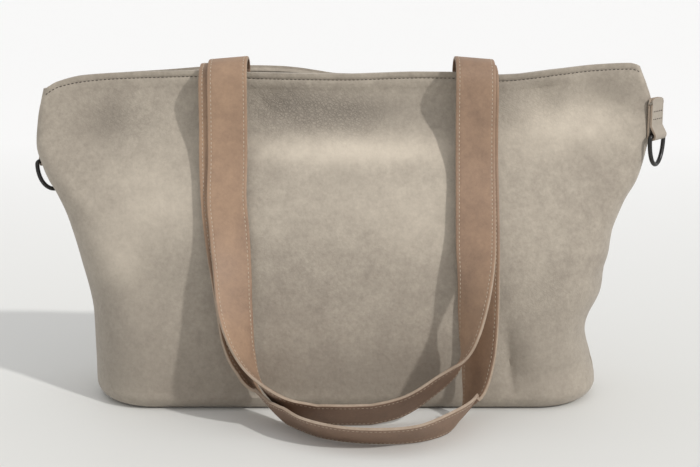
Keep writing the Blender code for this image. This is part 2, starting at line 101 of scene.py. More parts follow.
def smooth_between(places, values, place):
    """A smooth curve through the values at rising places, without overshoot."""
    last = len(places) - 1
    if place <= places[0]:
        return values[0]
    if place >= places[last]:
        return values[last]
    i = max(k for k in range(last) if places[k] <= place)

    def run(k):
        return (values[k + 1] - values[k]) / (places[k + 1] - places[k])

    def slope(k):
        if k in (0, last):
            return run(min(k, last - 1))
        before, after = run(k - 1), run(k)
        return 0.0 if before * after <= 0 else 2 * before * after / (before + after)

    step = places[i + 1] - places[i]
    t = (place - places[i]) / step
    return (values[i] * (1 + 2 * t) * (1 - t) ** 2 + slope(i) * step * t * (1 - t) ** 2
            + values[i + 1] * t * t * (3 - 2 * t) + slope(i + 1) * step * t * t * (t - 1))


def section_value(name, up):
    heights = column(SECTIONS, SECTION_COLUMNS, "up")
    return smooth_between(heights, column(SECTIONS, SECTION_COLUMNS, name), up)


def section_at(up, inset=0.0):
    """Left and right half-widths, depth, end depth and end length of one level cut."""
    pull = MOUTH_DEPTH / BASE_DEPTH / section_value("deep", 1.0) - 1
    deep = section_value("deep", up) * (1 + pull * max(0.0, 2 * up - 1))
    return (HALF_WIDTH * section_value("left", up) - inset,
            HALF_WIDTH * section_value("right", up) - inset,
            HALF_DEPTH * deep - inset,
            HALF_DEPTH * section_value("end", up) - inset,
            HALF_DEPTH * section_value("corner", up) - inset)


def rim_height(x, side=-1):
    wave = RIM_WAVE if side < 0 else BACK_RIM_WAVE
    across = max(-1.0, min(1.0, x / HALF_WIDTH / RIM_REACH))
    rise = smooth_between(column(wave, RIM_COLUMNS, "across"),
                          column(wave, RIM_COLUMNS, "rise"), across)
    return BAG_HEIGHT * (1 + rise)


print("rim heights, mm:", [round(rim_height(x / 10) * 1000, 1) for x in (-2.2, 0, 2.2)])

# %% [markdown]
# Leather that has been carried keeps dents, soft bulges and long shallow folds. Each row
# here is one of them: where it is, how wide and tall, how deep and how it leans. A dent with
# a negative depth is a bulge. They add up on the smooth pouch, which is how real creases
# meet each other too.

# %% Dents, bulges and folds
DENT_COLUMNS = ("side", "across", "up", "wide", "tall", "deep", "lean")
DENTS = (
    (-1, 0.00, 0.915, 0.34, 0.045, 0.045, 0),
    (-1, -0.26, 0.90, 0.10, 0.050, 0.055, 35),
    (-1, -0.78, 0.83, 0.10, 0.060, 0.060, 20),
    (-1, 0.64, 0.93, 0.06, 0.070, 0.075, 0),
    (-1, 0.84, 0.91, 0.08, 0.060, 0.070, 0),
    (-1, 0.74, 0.82, 0.16, 0.050, -0.060, 0),
    (-1, 0.52, 0.17, 0.045, 0.130, 0.070, 8),
    (-1, 0.72, 0.09, 0.10, 0.050, 0.080, 0),
    (-1, -0.35, 0.04, 0.25, 0.050, 0.080, 0),
    (-1, -0.60, 0.38, 0.12, 0.080, 0.045, -20),
    (1, 0.10, 0.90, 0.30, 0.050, 0.050, 0),
    (1, -0.55, 0.25, 0.10, 0.140, 0.070, 10),
    (1, 0.45, 0.50, 0.20, 0.090, 0.050, 25),
)
FOLDS = (
    (-1, -0.02, 0.800, 0.38, 0.028, -0.030, 2),
    (-1, 0.02, 0.875, 0.26, 0.030, 0.034, 0),
    (-1, -0.10, 0.845, 0.26, 0.007, 0.014, -9),
    (-1, 0.12, 0.835, 0.20, 0.008, 0.012, 6),
    (-1, -0.24, 0.895, 0.09, 0.009, 0.018, -42),
    (-1, -0.18, 0.880, 0.09, 0.008, 0.016, -46),
    (-1, -0.11, 0.870, 0.08, 0.008, 0.014, -40),
    (-1, -0.03, 0.860, 0.08, 0.008, 0.012, -28),
    (-1, 0.06, 0.865, 0.08, 0.008, 0.012, 24),
    (-1, 0.53, 0.120, 0.010, 0.110, 0.030, 6),
    (-1, 0.575, 0.030, 0.055, 0.010, 0.026, -8),
    (-1, 0.48, 0.30, 0.010, 0.080, 0.012, -12),
    (-1, 0.83, 0.22, 0.035, 0.060, 0.040, 30),
    (-1, 0.86, 0.40, 0.060, 0.030, 0.030, 30),
    (-1, -0.82, 0.55, 0.070, 0.030, 0.024, -35),
    (1, 0.10, 0.86, 0.30, 0.010, 0.014, -4),
    (1, -0.50, 0.22, 0.012, 0.110, 0.030, 8),
    (1, -0.84, 0.42, 0.060, 0.030, 0.030, -30),
    (1, 0.84, 0.42, 0.060, 0.030, 0.030, 30),
)


def pushed_in(side, x, z):
    """How far the dents and folds push the leather in, for arrays of x and z."""
    total = np.zeros_like(x)
    for row in DENTS + FOLDS:
        dent = dict(zip(DENT_COLUMNS, row))
        if dent["side"] != side:
            continue
        over, above = x - dent["across"] * HALF_WIDTH, z - dent["up"] * BAG_HEIGHT
        tip = math.radians(dent["lean"])
        along = over * math.cos(tip) + above * math.sin(tip)
        beside = above * math.cos(tip) - over * math.sin(tip)
        far = (along / (dent["wide"] * HALF_WIDTH)) ** 2
        far += (beside / (dent["tall"] * BAG_HEIGHT)) ** 2
        total += dent["deep"] * HALF_DEPTH * np.exp(-far)
    return total


def softness(side, x, z):
    """Slow and quick unevenness of thin leather, about a millimetre and less."""
    place = Vector((x, side * 0.5, z))
    return 0.0009 * noise.noise(place * 13) + 0.00030 * noise.noise(place * 46)


print("dents and folds:", len(DENTS) + len(FOLDS))

# %% [markdown]
# A panel is a grid bent onto the pouch. The grid starts as Blender's grid primitive, and
# each of its rows is laid on one level cut, from the lip under the base up to the rim. Rows
# stand closer together near the mouth, where the rolled hem and its row of stitches need
# them. Solidify then gives the leather its thickness, more where the hem is double, and
# Bevel rounds the cut edges.

# %% A helper that makes a grid and lays it
OUTLINE_STEPS = 600


def laid_grid(name, rows):
    """Blender's grid primitive with its points laid on the given rows."""
    bpy.ops.object.select_all(action="DESELECT")
    bpy.ops.mesh.primitive_grid_add(x_subdivisions=len(rows[0]) - 1,
                                    y_subdivisions=len(rows) - 1)
    piece = bpy.context.object
    piece.name = piece.data.name = name
    spots = np.array([tuple(p) for row in rows for p in row], dtype=np.float32)
    assert len(piece.data.vertices) == len(spots)
    piece.location = (0, 0, 0)
    piece.data.vertices.foreach_set("co", spots.ravel())
    piece.data.update()
    return piece


def apply_all(piece):
    bpy.ops.object.select_all(action="DESELECT")
    bpy.context.view_layer.objects.active = piece
    piece.select_set(True)
    for modifier in list(piece.modifiers):
        bpy.ops.object.modifier_apply(modifier=modifier.name)
    bpy.ops.object.shade_smooth_by_angle(angle=math.radians(50))


def level_cut(section, count, crowding=0.5):
    """Points (x, depth) of half a level cut, closer together at the two ends."""
    left, right, deep, end, corner = section
    turns = np.linspace(0, math.pi, OUTLINE_STEPS + 1)
    x = -np.where(turns > math.pi / 2, right, left) * np.cos(turns)
    reach = np.where(x > 0, right, left)
    past = np.clip((np.abs(x) - (reach - corner)) / corner, 0, 1)
    depth = end * np.sqrt(1 - past ** 2)
    depth += (deep - end) * (1 - np.minimum(1, np.abs(x) / reach) ** 2) ** 1.5
    lengths = np.concatenate([[0], np.cumsum(np.hypot(np.diff(x), np.diff(depth)))])
    share = np.linspace(0, 1, count + 1)
    share -= crowding * np.sin(2 * math.pi * share) / (2 * math.pi)
    at_x = np.interp(share * lengths[-1], lengths, x)
    at_depth = np.interp(share * lengths[-1], lengths, depth)
    flat = at_depth < HEM_THICKNESS
    at_x[flat & (at_x < 0)], at_x[flat & (at_x > 0)] = -left, right
    return at_x, at_depth


# %% The rows of one panel
HEM_STITCH_DROP = 0.0046
HEM_DROPS = (0.0, 0.0010, 0.0021, 0.0032, 0.0040, 0.0046, 0.0053, 0.0064, 0.0080, 0.0100,
             0.0119, 0.0123)
HEM_PUFF = 0.0007
STITCH_GROOVE = 0.0009


def hem_relief(drop):
    """The rolled hem stands proud, and its stitches pull a groove under it."""
    puff = HEM_PUFF * max(0.0, 1 - (drop / HEM_STITCH_DROP) ** 2) ** 0.5
    step = 0.0003 * (1 - min(1.0, max(0.0, (drop - 0.0110) / 0.0015)))
    return puff + step - STITCH_GROOVE * math.exp(-((drop - HEM_STITCH_DROP) / 0.0009) ** 2)


def panel_rows(side, columns, wall_rows):
    rows, kinds = [], []
    lip = [(0.0, BOTTOM_RADIUS + BOTTOM_LIP * (1 - k / 2)) for k in range(2)]
    for k in range(9):
        turn = math.pi / 2 * (1 - k / 9)
        lip.append((BOTTOM_RADIUS * (1 - math.sin(turn)), BOTTOM_RADIUS * (1 - math.cos(turn))))
    for height, inset in lip:
        x, depth = level_cut(section_at(height / BAG_HEIGHT, inset), columns)
        rows.append([Vector((a, side * max(b, SEAM_GAP / 2), height)) for a, b in zip(x, depth)])
        kinds.append("lip")
    low, top = BOTTOM_RADIUS / BAG_HEIGHT, 1 - 0.0135 / BAG_HEIGHT
    levels = [("wall", low + (top - low) * k / wall_rows, 0) for k in range(wall_rows + 1)]
    levels += [("hem", 1 - drop / BAG_HEIGHT, drop) for drop in reversed(HEM_DROPS)]
    for kind, up, drop in levels:
        x, depth = level_cut(section_at(up), columns)
        rims = np.array([rim_height(a, side) for a in x])
        z = up * rims if kind == "wall" else rims - drop
        run = np.stack([np.gradient(x), np.gradient(depth)])
        run /= np.linalg.norm(run, axis=0) + 1e-12
        out_x, out_y = -run[1], run[0]
        fade = min(1.0, up / 0.12) * min(1.0, (1 - up) / 0.05)
        ends = np.clip((depth - HEM_THICKNESS) / 0.006, 0, 1)
        push = pushed_in(side, x, z) * fade
        uneven = np.array([softness(side, a, b) for a, b in zip(x, z)]) * ends
        push += uneven * min(1.0, up / 0.12) * min(1.0, (1 - up) / 0.05 + 0.15)
        if kind == "hem":
            push -= hem_relief(drop) * ends
        x, depth = x - out_x * push, np.maximum(depth - out_y * push, SEAM_GAP / 2)
        rows.append([Vector((a, side * b, c)) for a, b, c in zip(x, depth, z)])
        kinds.append(kind)
    for row in rows:
        row[0].y = row[-1].y = side * SEAM_GAP / 2
    return rows, kinds


# %% Build the two panels
def leather_panel(name, side, columns, wall_rows):
    rows, kinds = panel_rows(side, columns, wall_rows)
    laid = rows if side < 0 else [row[::-1] for row in rows]
    piece = laid_grid(name, laid)
    across = len(rows[0])
    hem = piece.vertex_groups.new(name="hem")
    first = kinds.index("hem") + 1
    hem.add(list(range(first * across, len(rows) * across)), 1.0, "REPLACE")
    wall = piece.modifiers.new("wall", "SOLIDIFY")
    wall.thickness, wall.offset = HEM_THICKNESS, -1.0
    wall.use_even_offset = wall.use_quality_normals = True
    wall.vertex_group, wall.thickness_vertex_group = "hem", WALL / HEM_THICKNESS
    wall.material_offset = 1
    edges = piece.modifiers.new("edges", "BEVEL")
    edges.width, edges.segments, edges.angle_limit = 0.0008, 3, math.radians(55)
    return piece, rows


front_leather, front_rows = leather_panel("front_leather", -1, 250, 130)
back_leather, back_rows = leather_panel("back_leather", 1, 190, 100)
print("front rows:", len(front_rows), "back rows:", len(back_rows))

# %% [markdown]
# The base is one flat piece of leather inside the two lips. It starts as a filled circle
# whose points move onto the base's outline. Two insets give it rings of points, so that its
# edge can be rounded and the middle stays even.

# %% Build the base
def leather_base():
    inset = BOTTOM_RADIUS + BOTTOM_LIP + SEAM_GAP
    x, depth = level_cut(section_at(0.0, inset), 96)
    outline = [(a, -b) for a, b in zip(x, depth)]
    outline += [(a, b) for a, b in zip(x[-2:0:-1], depth[-2:0:-1])]
    bpy.ops.object.select_all(action="DESELECT")
    bpy.ops.mesh.primitive_circle_add(vertices=len(outline), fill_type="NGON")
    piece = bpy.context.object
    piece.name = piece.data.name = "base_leather"
    for vertex, (a, b) in zip(piece.data.vertices, outline):
        vertex.co = (a, b, 0.0)
    bpy.ops.object.mode_set(mode="EDIT")
    bpy.ops.mesh.select_all(action="SELECT")
    for thickness in (0.004, 0.012):
        bpy.ops.mesh.inset(thickness=thickness)
    bpy.ops.mesh.normals_make_consistent(inside=False)
    bpy.ops.object.mode_set(mode="OBJECT")
    if piece.data.polygons[0].normal.z > 0:
        piece.data.flip_normals()
    wall = piece.modifiers.new("wall", "SOLIDIFY")
    wall.thickness, wall.offset, wall.material_offset = WALL, -1.0, 1
    edges = piece.modifiers.new("edges", "BEVEL")
    edges.width, edges.segments = 0.0004, 2
    return piece


base_leather = leather_base()
print("base points:", len(base_leather.data.vertices))

# %% [markdown]
# Each handle is a flat strap of two layers sewn back to back. Its route is a short table:
# over the rim first, then the hanging loop, where each row gives the strap's middle and the
# direction of its outer edge. A smooth curve runs through the rows, and the edge's direction
# turns with it, so the strap twists on its way down as the real one does. The legs show the
# outer face and the loop shows the inner one.

# %% Routes of the handles
STRAP_WIDTH, STRAP_THICKNESS, STRAP_GAP = 0.030, 0.0026, 0.0004
HANDLE_INSIDE, HANDLE_CLEARS = 0.040, 1.009
SPREAD = {"front": (0.1970, 0.0030), "back": (0.1875, 0.0051)}
LIFTS = {"front": (0.0, 0.0), "back": (0.0004, 0.0014)}
OVER = {
    "front": (
        (0.155, 1.010, 0.0, 0.75, 0.05), (0.260, 1.005, 0.0, 0.85, 0.08),
        (0.360, 0.998, 0.3, 0.55, 0.10), (0.440, 0.976, 0.6, 0.30, 0.10),
        (0.465, 0.934, 0.7, 0.0, 0.08), (0.480, 0.840, 0.7, 0.0, 0.0),
        (0.555, 0.740, 0.7, 0.0, 0.0),
    ),
    "back": (
        (-0.075, 1.000, 0.0, 0.0, 0.0), (0.000, 1.005, 0.0, 1.20, 0.06),
        (0.150, 1.005, 0.0, 2.25, 0.08), (0.275, 1.005, 0.2, 2.30, 0.09),
        (0.385, 0.997, 1.1, 1.95, 0.10), (0.450, 0.974, 1.7, 1.15, 0.10),
        (0.470, 0.926, 1.8, 0.0, 0.08), (0.485, 0.840, 1.8, 0.0, 0.0),
        (0.560, 0.740, 1.8, 0.0, 0.0),
    ),
}
LOOP = {
    "front": (
        (-0.981, 0.76, 0.640, -1.00, 0.00, 0.00),
        (-0.951, 0.91, 0.545, -1.00, 0.08, 0.00),
        (-0.903, 1.06, 0.420, -0.92, 0.38, 0.05),
        (-0.869, 1.18, 0.325, -0.83, 0.53, 0.12),
        (-0.845, 1.26, 0.229, -0.68, 0.66, 0.25),
        (-0.793, 1.30, 0.134, -0.42, 0.76, 0.45),
        (-0.680, 1.33, 0.050, -0.20, 0.80, 0.55),
        (-0.440, 1.80, 0.003, -0.15, 0.76, 0.62),
        (-0.256, 2.12, 0.001, -0.10, 0.78, 0.62),
        (0.050, 2.33, 0.001, 0.00, 0.79, 0.61),
        (0.480, 2.31, 0.001, 0.00, 0.76, 0.64),
        (0.780, 1.93, 0.001, 0.15, 0.65, 0.74),
        (0.920, 1.40, 0.016, 0.30, 0.75, 0.58),
        (0.985, 1.26, 0.160, 0.70, 0.65, 0.25),
        (1.000, 1.19, 0.290, 0.84, 0.52, 0.10),
        (1.000, 1.05, 0.420, 0.93, 0.35, 0.03),
        (1.000, 0.91, 0.545, 1.00, 0.05, 0.00),
        (1.000, 0.76, 0.640, 1.00, 0.00, 0.00),
    ),
    "back": (
        (-1.000, 0.84, 0.640, -1.00, 0.00, 0.00),
        (-0.975, 0.98, 0.550, -0.98, 0.15, 0.00),
        (-0.947, 1.15, 0.430, -0.90, 0.40, 0.10),
        (-0.920, 1.31, 0.315, -0.80, 0.58, 0.15),
        (-0.850, 1.48, 0.202, -0.50, 0.80, 0.33),
        (-0.735, 1.60, 0.112, -0.20, 0.83, 0.53),
        (-0.540, 1.67, 0.046, -0.05, 0.78, 0.62),
        (-0.323, 1.66, 0.008, 0.00, 0.70, 0.71),
        (-0.058, 1.68, 0.001, 0.00, 0.70, 0.71),
        (0.180, 1.66, 0.006, 0.00, 0.69, 0.72),
        (0.418, 1.60, 0.025, 0.05, 0.68, 0.73),
        (0.656, 1.52, 0.078, 0.08, 0.70, 0.71),
        (0.845, 1.47, 0.148, 0.03, 0.83, 0.55),
        (0.925, 1.46, 0.262, 0.42, 0.85, 0.25),
        (0.955, 1.40, 0.344, 0.64, 0.74, 0.12),
        (0.980, 1.29, 0.437, 0.82, 0.56, 0.05),
        (0.990, 1.03, 0.547, 0.97, 0.22, 0.00),
        (0.995, 0.85, 0.640, 1.00, 0.03, 0.00),
    ),
}


def handle_route(which, inner_forward):
    """The strap's middles and the directions to its outer edge, from end to end."""
    spread, shift = SPREAD[which]
    step = STRAP_THICKNESS + STRAP_GAP
    start = (BAG_HEIGHT - HANDLE_INSIDE) / BAG_HEIGHT
    legs = []
    for way, lift in zip((-1, 1), LIFTS[which]):
        x, edge = shift + way * spread / 2, Vector((way, 0, 0))
        rim = max(rim_height(x + STRAP_WIDTH * k / 4) for k in (-2, -1, 0, 1, 2))
        leg = [(Vector((x, -inner_forward, up * rim)), edge)
               for up in (start, (start + 1) / 2, HANDLE_CLEARS)]
        for forward, up, more_forward, more_up, droop in OVER[which]:
            raised = up * rim + more_up * step + (lift if more_up > 0 else 0.0)
            leg.append((Vector((x, -forward * HALF_DEPTH - more_forward * step, raised)),
                        edge + Vector((0, 0, -droop))))
        legs.append(leg)
    loop = []
    for across, forward, low, out, ahead, rise in LOOP[which]:
        edge = Vector((out, -ahead, rise)).normalized()
        loop.append((Vector((shift + across * spread / 2, -forward * HALF_DEPTH,
                             low * BAG_HEIGHT + edge.z * STRAP_WIDTH / 2)), edge))
    return legs[0] + loop + legs[1][::-1]


# %% A smooth curve through a route
def spline_point(points, place):
    """Centripetal Catmull-Rom through the points, at a share of their whole count."""
    last = len(points) - 1
    k = min(int(place * last), last - 1)
    four = [points[min(max(k + d, 0), last)] for d in (-1, 0, 1, 2)]
    if k == 0:
        four[0] = points[0] * 2 - points[1]
    if k == last - 1:
        four[3] = points[last] * 2 - points[last - 1]
    knots = [0.0]
    for a, b in zip(four, four[1:]):
        knots.append(knots[-1] + max(1e-6, (b - a).length) ** 0.5)
    t = knots[1] + (place * last - k) * (knots[2] - knots[1])

    def mix(a, b, i, j):
        return a * ((knots[j] - t) / (knots[j] - knots[i])) + b * (
            (t - knots[i]) / (knots[j] - knots[i]))

    ab, bc, cd = (mix(four[n], four[n + 1], n, n + 1) for n in range(3))
    return mix(mix(ab, bc, 0, 2), mix(bc, cd, 1, 3), 1, 2)


def strap_frames(route, count):
    """Middle, outer edge and face directions at even lengths along the strap."""
    places, edges = [at for at, _ in route], [edge.normalized() for _, edge in route]
    steps = 4 * count
    fine = [spline_point(places, k / steps) for k in range(steps + 1)]
    lengths = [0.0]
    for a, b in zip(fine, fine[1:]):
        lengths.append(lengths[-1] + (b - a).length)
    frames, k = [], 0
    for step in range(count + 1):
        wanted = lengths[-1] * step / count
        while k < steps - 1 and lengths[k + 1] < wanted:
            k += 1
        t = (wanted - lengths[k]) / (lengths[k + 1] - lengths[k])
        middle = fine[k].lerp(fine[k + 1], t)
        tangent = (fine[k + 1] - fine[k]).normalized()
        edge = spline_point(edges, (k + t) / steps)
        edge = (edge - tangent * edge.dot(tangent)).normalized()
        face = tangent.cross(edge)
        lowest = middle.z - abs(edge.z) * STRAP_WIDTH / 2 - abs(face.z) * STRAP_THICKNESS / 2
        middle = middle + Vector((0, 0, max(0.0, STRAP_GAP - lowest)))
        frames.append((middle, edge, face))
    return frames, lengths[-1]


# %% Build the handles
STRAP_STITCH_INSET = 0.0027
STRAP_SPOTS = (-1.0, -0.93, -0.86, -0.82, -0.78, -0.70, -0.45, -0.15, 0.15, 0.45, 0.70, 0.78,
               0.82, 0.86, 0.93, 1.0)
STRAP_THIN = {1.0: 0.55, 0.82: 0.70}
STRAP_ROWS = 420


def room_inside(rows, low, left, right):
    """How far from the middle the panel's inner face stays between these places."""
    near = [abs(p.y) for row in rows for p in row if p.z > low and left < p.x < right]
    return min(near) - HEM_THICKNESS


def leather_strap(which, rows):
    spread, shift = SPREAD[which]
    reach = spread / 2 + STRAP_WIDTH
    room = room_inside(rows, BAG_HEIGHT - HANDLE_INSIDE, shift - reach, shift + reach)
    inner = room - STRAP_GAP - STRAP_THICKNESS / 2
    route = handle_route(which, inner if which == "front" else -inner)
    frames, length = strap_frames(route, STRAP_ROWS)
    laid = []
    for middle, edge, face in frames:
        laid.append([middle + edge * (spot * STRAP_WIDTH / 2) for spot in STRAP_SPOTS])
    piece = laid_grid("strap_" + which, laid)
    full = piece.vertex_groups.new(name="full")
    for spot_index, spot in enumerate(STRAP_SPOTS):
        on = list(range(spot_index, len(laid) * len(STRAP_SPOTS), len(STRAP_SPOTS)))
        full.add(on, STRAP_THIN.get(abs(spot), 1.0), "REPLACE")
    wall = piece.modifiers.new("wall", "SOLIDIFY")
    wall.thickness, wall.offset, wall.use_even_offset = STRAP_THICKNESS, 0.0, True
    wall.vertex_group, wall.thickness_vertex_group = "full", 0.5
    wall.material_offset_rim, wall.material_offset = 1, 2
    edges = piece.modifiers.new("edges", "BEVEL")
    edges.width, edges.segments, edges.angle_limit = 0.0005, 2, math.radians(55)
    return piece, frames, length


strap_front, front_frames, front_length = leather_strap("front", front_rows)
strap_back, back_frames, back_length = leather_strap("back", back_rows)
print("strap lengths, m:", round(front_length, 3), round(back_length, 3))

# %% [markdown]
# A tab is a strip of leather folded round the ring's bar, its two leaves sewn together
# above it. Its profile goes down the back leaf, round the bar and up the front leaf. The
# top corners are rounded, so each row of the grid ends a little lower near them.

# %% Build the tabs
TAB_WIDTH, TAB_HEIGHT, TAB_LEATHER, TAB_CORNER, TAB_LEAF_GAP = 0.022, 0.033, 0.0016, 0.005, 0.0004
RING_WIRE, RING_INSIDE, RING_DROP, RING_PLAY = 0.0034, 0.024, 0.023, 0.0004
TAB_STITCH_DROPS = (0.0105, 0.0165)


def bar_place(joint):
    """The hinge's place and the bar's direction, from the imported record."""
    for each in frame["record"]["behaviour"]["joints"]:
        if each["name"] == joint:
            axis = Vector(each["axis"])
            along = axis if axis.y > 0 else -axis
            return Vector(each["pos_m"]), along
    raise ValueError(joint)


def leather_tab(word, side):
    at, along = bar_place("ring_" + word + "_swing")
    outward = Vector((along.y, -along.x, 0)) * side
    bar_room = RING_WIRE / 2 + RING_PLAY + TAB_LEATHER / 2
    back = -bar_room
    front = back + TAB_LEATHER + TAB_LEAF_GAP
    waist, top = 2.6 * bar_room, TAB_HEIGHT - bar_room - TAB_LEATHER / 2
    profile = [(back, top - (top - bar_room) * k / 16, k == 0) for k in range(17)]
    for k in range(25):
        turn = math.radians(180 + 205 * k / 24)
        profile.append((bar_room * math.cos(turn), bar_room * math.sin(turn), False))
    profile += [(front, waist + (top - waist) * k / 14, k == 14) for k in range(15)]
    half, rows = TAB_WIDTH / 2, []
    spots = [half * math.sin(math.pi / 2 * k / 10) for k in range(-10, 11)]
    for x, z, _ in profile:
        row = []
        for spot in spots:
            past = max(0.0, abs(spot) - half + TAB_CORNER) / TAB_CORNER
            roof = top - TAB_CORNER * (1 - math.sqrt(max(0.0, 1 - past ** 2)))
            row.append(at + outward * x + along * spot + Vector((0, 0, min(z, roof))))
        rows.append(row)
    piece = laid_grid("tab_" + word + "_leather", rows)
    wall = piece.modifiers.new("wall", "SOLIDIFY")
    wall.thickness, wall.offset, wall.use_even_offset = TAB_LEATHER, 0.0, True
    wall.material_offset_rim = 1
    edges = piece.modifiers.new("edges", "BEVEL")
    edges.width, edges.segments, edges.angle_limit = 0.0003, 2, math.radians(60)
    face = at + outward * (front + TAB_LEATHER / 2)
    seams = [(face + Vector((0, 0, top - drop)), along, outward) for drop in TAB_STITCH_DROPS]
    return piece, seams


tab_left_leather, left_seams = leather_tab("left", -1)
tab_right_leather, right_seams = leather_tab("right", 1)
print("tabs:", tab_left_leather.name, tab_right_leather.name)

# %% [markdown]
# A D-shaped ring is a bent wire. A curve with a round bevel is the natural way: its points
# give the straight bar, the two tight corners and the bow. It is converted to a mesh at the
# end, because its place belongs in its points.

# %% Build the rings
def wire_ring(word):
    at, along = bar_place("ring_" + word + "_swing")
    half = (RING_INSIDE + RING_WIRE) / 2
    corner = half - TAB_WIDTH / 2 - RING_PLAY
    bend = [(half - corner + corner * math.sin(math.radians(15 * k)),
             -corner + corner * math.cos(math.radians(15 * k))) for k in range(7)]
    bow = [(half * math.cos(math.pi * k / 40),
            -corner - (RING_DROP - corner) * math.sin(math.pi * k / 40)) for k in range(1, 40)]
    points = bend + bow + [(-y, z) for y, z in bend[::-1]]
    wire = bpy.data.curves.new("ring_" + word + "_wire", "CURVE")
    wire.dimensions, wire.bevel_depth, wire.bevel_resolution = "3D", RING_WIRE / 2, 5
    line = wire.splines.new("POLY")
    line.points.add(len(points) - 1)
    for spot, (y, z) in zip(line.points, points):
        place = at + along * y + Vector((0, 0, z))
        spot.co = (place.x, place.y, place.z, 1.0)
    line.use_cyclic_u = True
    piece = bpy.data.objects.new("ring_" + word + "_wire", wire)
    bpy.context.scene.collection.objects.link(piece)
    bpy.ops.object.select_all(action="DESELECT")
    bpy.context.view_layer.objects.active = piece
    piece.select_set(True)
    bpy.ops.object.convert(target="MESH")
    return bpy.context.object


ring_left_wire, ring_right_wire = wire_ring("left"), wire_ring("right")
print("ring points:", len(ring_left_wire.data.vertices))

# %% [markdown]
# One stitch is a tiny rounded bar of thread. It is modelled once, from a sphere, and a seam
# copies it at an even pitch along a line, turned with the line and lying on the leather. A
# hundred real stitches catch light and shadow in a way that a painted dotted line doesn't.

# %% One stitch, and a seam made of it
STITCH_PITCH, STITCH_LENGTH, THREAD = 0.0032, 0.0022, 0.0009


def one_stitch():
    bpy.ops.object.select_all(action="DESELECT")
    bpy.ops.mesh.primitive_uv_sphere_add(segments=6, ring_count=4, radius=0.5,
                                         rotation=(0, math.pi / 2, 0))
    ball = bpy.context.object
    bpy.ops.object.transform_apply(rotation=True)
    ball.scale = (STITCH_LENGTH, THREAD, THREAD)
    bpy.ops.object.transform_apply(scale=True)
    points = [vertex.co.copy() for vertex in ball.data.vertices]
    faces = [tuple(face.vertices) for face in ball.data.polygons]
    bpy.data.objects.remove(ball, do_unlink=True)
    return points, faces


STITCH_POINTS, STITCH_FACES = one_stitch()


def sew(name, seams, lift=0.0):
    """Stitches along seams, each a line of places and the leather's outward directions."""
    points, faces, count = [], [], 0
    for line, outs in seams:
        lengths = [0.0]
        for a, b in zip(line, line[1:]):
            lengths.append(lengths[-1] + (b - a).length)
        total, k = int(lengths[-1] / STITCH_PITCH), 0
        for n in range(total):
            wanted = (n + 0.5) * lengths[-1] / total
            while k < len(line) - 2 and lengths[k + 1] < wanted:
                k += 1
            t = (wanted - lengths[k]) / max(1e-9, lengths[k + 1] - lengths[k])
            along = (line[k + 1] - line[k]).normalized()
            out = outs[k].lerp(outs[k + 1], t)
            out = (out - along * out.dot(along)).normalized()
            beside = out.cross(along)
            at = line[k].lerp(line[k + 1], t) + out * lift
            first = len(points)
            points += [at + along * p.x + beside * p.y + out * p.z for p in STITCH_POINTS]
            faces += [tuple(first + i for i in face) for face in STITCH_FACES]
            count += 1
    mesh = bpy.data.meshes.new(name)
    mesh.from_pydata(points, [], faces)
    mesh.shade_smooth()
    piece = bpy.data.objects.new(name, mesh)
    bpy.context.scene.collection.objects.link(piece)
    print(name, "stitches:", count)
    return piece


# %% Sew the hem, the straps and the tabs
def hem_seam(rows, side):
    """The line of the hem's stitches on a panel, and its outward directions."""
    index = len(rows) - 1 - HEM_DROPS.index(HEM_STITCH_DROP)
    line = rows[index][6:-6]
    outs = []
    for k in range(6, len(rows[index]) - 6):
        across = rows[index][k + 1] - rows[index][k - 1]
        upward = rows[index + 1][k] - rows[index - 1][k]
        outs.append((across.cross(upward) * -side).normalized())
    return line, outs


def strap_seams(frames):
    seams = []
    for way in (-1, 1):
        for face_way in (-1, 1):
            line = [m + e * (way * (STRAP_WIDTH / 2 - STRAP_STITCH_INSET))
                    + f * (face_way * STRAP_THICKNESS * 0.425) for m, e, f in frames[4:-4]]
            seams.append((line, [f * face_way for _, _, f in frames[4:-4]]))
    return seams


def tab_seams(ends):
    seams = []
    for middle, along, outward in ends:
        reach = along * (TAB_WIDTH / 2 - 0.0018)
        seams.append(([middle - reach, middle, middle + reach], [outward] * 3))
    return seams


front_hem_stitches = sew("front_hem_stitches", [hem_seam(front_rows, -1)])
back_hem_stitches = sew("back_hem_stitches", [hem_seam(back_rows, 1)])
strap_front_stitches = sew("strap_front_stitches", strap_seams(front_frames))
strap_back_stitches = sew("strap_back_stitches", strap_seams(back_frames))
tab_left_stitches = sew("tab_left_stitches", tab_seams(left_seams))
tab_right_stitches = sew("tab_right_stitches", tab_seams(right_seams))

# %% [markdown]
# Now the finishes. Nubuck is leather sanded to a short nap: matt, cloudy in colour, with
# fine crazing where it was bent. Three shader groups make its parts, each built once and
# used with other values by other leathers. Clouds gives slow colour changes, Grain gives
# the small pebbles, and Creases gives the crossing lines of bent leather.

# %% Small helpers for nodes
def new_node(tree, kind, values=(), **settings):
    node = tree.nodes.new(kind)
    for name, value in settings.items():
        setattr(node, name, value)
    for socket, value in dict(values).items():
        if isinstance(value, bpy.types.NodeSocket):
            tree.links.new(value, node.inputs[socket])
        else:
            node.inputs[socket].default_value = value
    return node


def new_group(name, numbers, outputs):
    """An empty shader group with named number inputs and outputs."""
    group = bpy.data.node_groups.new(name, "ShaderNodeTree")
    for label, value in numbers.items():
        socket = group.interface.new_socket(label, in_out="INPUT", socket_type="NodeSocketFloat")
        socket.default_value = value
    for label in outputs:
        group.interface.new_socket(label, in_out="OUTPUT", socket_type="NodeSocketFloat")
    return group, group.nodes.new("NodeGroupInput"), group.nodes.new("NodeGroupOutput")


def object_place(tree):
    return tree.nodes.new("ShaderNodeTexCoord").outputs["Object"]


